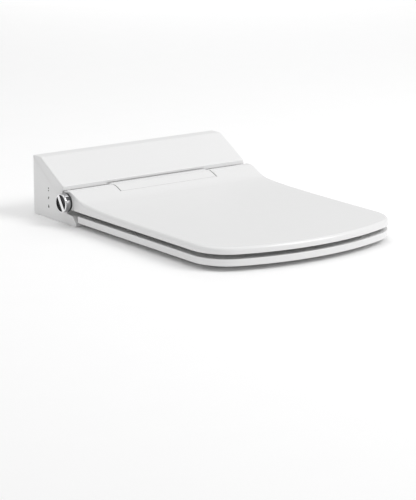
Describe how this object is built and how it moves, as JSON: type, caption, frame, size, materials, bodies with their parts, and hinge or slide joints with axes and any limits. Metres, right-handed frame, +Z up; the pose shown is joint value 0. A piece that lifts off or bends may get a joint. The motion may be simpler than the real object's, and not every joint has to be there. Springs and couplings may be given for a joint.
{
  "type": "electric bidet seat",
  "caption": "Electric bidet toilet seat: wedge-shaped rear casing with a side control knob, slim hinged lid with a concave rear sweep, hinged ring and a telescopic wash nozzle.",
  "frame": {"origin": "midway between the two bolt slots, on the underside of the mounting plate, in the plane of the bowl rim", "axes": "+Z up, +Y towards the back (the wall), -Y towards the front of the seat, +X towards the seat's side without the knob"},
  "size_m": [0.3835, 0.5365, 0.099],
  "materials": {
    "white_casing": "glossy white moulded plastic",
    "white_lid": "glossy white moulded plastic",
    "white_ring": "glossy white moulded plastic",
    "white_nozzle": "glossy white plastic",
    "grey_plastic": "matte moulded plastic",
    "dark_plastic": "matte dark plastic",
    "steel": "plain turned steel",
    "circuit_board": "green solder mask",
    "panel_light": "dark translucent light guide",
    "soft_rubber": "soft pale rubber",
    "heating_foil": "copper-coloured foil",
    "chrome_knob": "bright chrome plate"
  },
  "bodies": {
    "casing": {"rear_cover": "white_casing", "base_tray": "white_casing", "mounting_plate": "grey_plastic", "base_screw_1": "steel", "base_screw_2": "steel", "base_screw_3": "steel", "base_screw_4": "steel", "hinge_pin_left": "steel", "hinge_pin_right": "steel", "seat_damper": "dark_plastic", "lid_damper": "dark_plastic", "flow_valve": "dark_plastic", "nozzle_guide": "grey_plastic", "nozzle_motor": "dark_plastic", "water_heater": "grey_plastic", "water_pump": "dark_plastic", "inlet_valve": "dark_plastic", "control_board": "circuit_board", "power_supply": "grey_plastic", "fan_housing": "dark_plastic", "panel_board": "circuit_board", "wash_hose": "soft_rubber", "inlet_fitting": "steel", "power_gland": "dark_plastic", "panel_light_1": "panel_light", "panel_light_2": "panel_light", "panel_light_3": "panel_light"},
    "ring": {"seat_ring_upper": "white_ring", "seat_ring_lower": "white_ring", "seat_heating_foil": "heating_foil", "ring_bumper_1": "soft_rubber", "ring_bumper_2": "soft_rubber", "ring_bumper_3": "soft_rubber", "ring_bumper_4": "soft_rubber"},
    "lid": {"lid_shell": "white_lid", "hinge_cover": "white_lid", "lid_bumper_1": "soft_rubber", "lid_bumper_2": "soft_rubber", "lid_bumper_3": "soft_rubber", "lid_bumper_4": "soft_rubber"},
    "knob": {"control_knob": "chrome_knob"},
    "nozzle_outer": {"nozzle_sleeve": "white_nozzle"},
    "nozzle_inner": {"nozzle_wand": "white_nozzle"},
    "button": {"release_button": "white_casing"}
  },
  "joints": [
    {"name": "seat_hinge", "type": "hinge", "parent": "casing", "child": "ring", "pos_m": [0, -0.051, 0.0475], "axis": [-1, 0, 0], "range_deg": [0, 95]},
    {"name": "lid_hinge", "type": "hinge", "parent": "ring", "child": "lid", "pos_m": [0, -0.051, 0.0475], "axis": [1, 0, 0], "range_deg": [-98, 0]},
    {"name": "knob_turn", "type": "hinge", "parent": "casing", "child": "knob", "pos_m": [-0.185, -0.0535, 0.0375], "axis": [1, 0, 0], "range_deg": [-75, 75]},
    {"name": "nozzle_slide", "type": "slide", "parent": "casing", "child": "nozzle_outer", "axis": [0, -0.9781, -0.2079], "range_m": [0, 0.055]},
    {"name": "nozzle_tip_slide", "type": "slide", "parent": "nozzle_outer", "child": "nozzle_inner", "axis": [0, -0.9781, -0.2079], "range_m": [0, 0.055]},
    {"name": "release_press", "type": "slide", "parent": "casing", "child": "button", "axis": [-1, 0, 0], "range_m": [0, 0.003], "stiffness_N_per_m": 300}
  ],
  "couplings": [
    {"joint": "nozzle_tip_slide", "follows": "nozzle_slide", "ratio": 1}
  ]
}
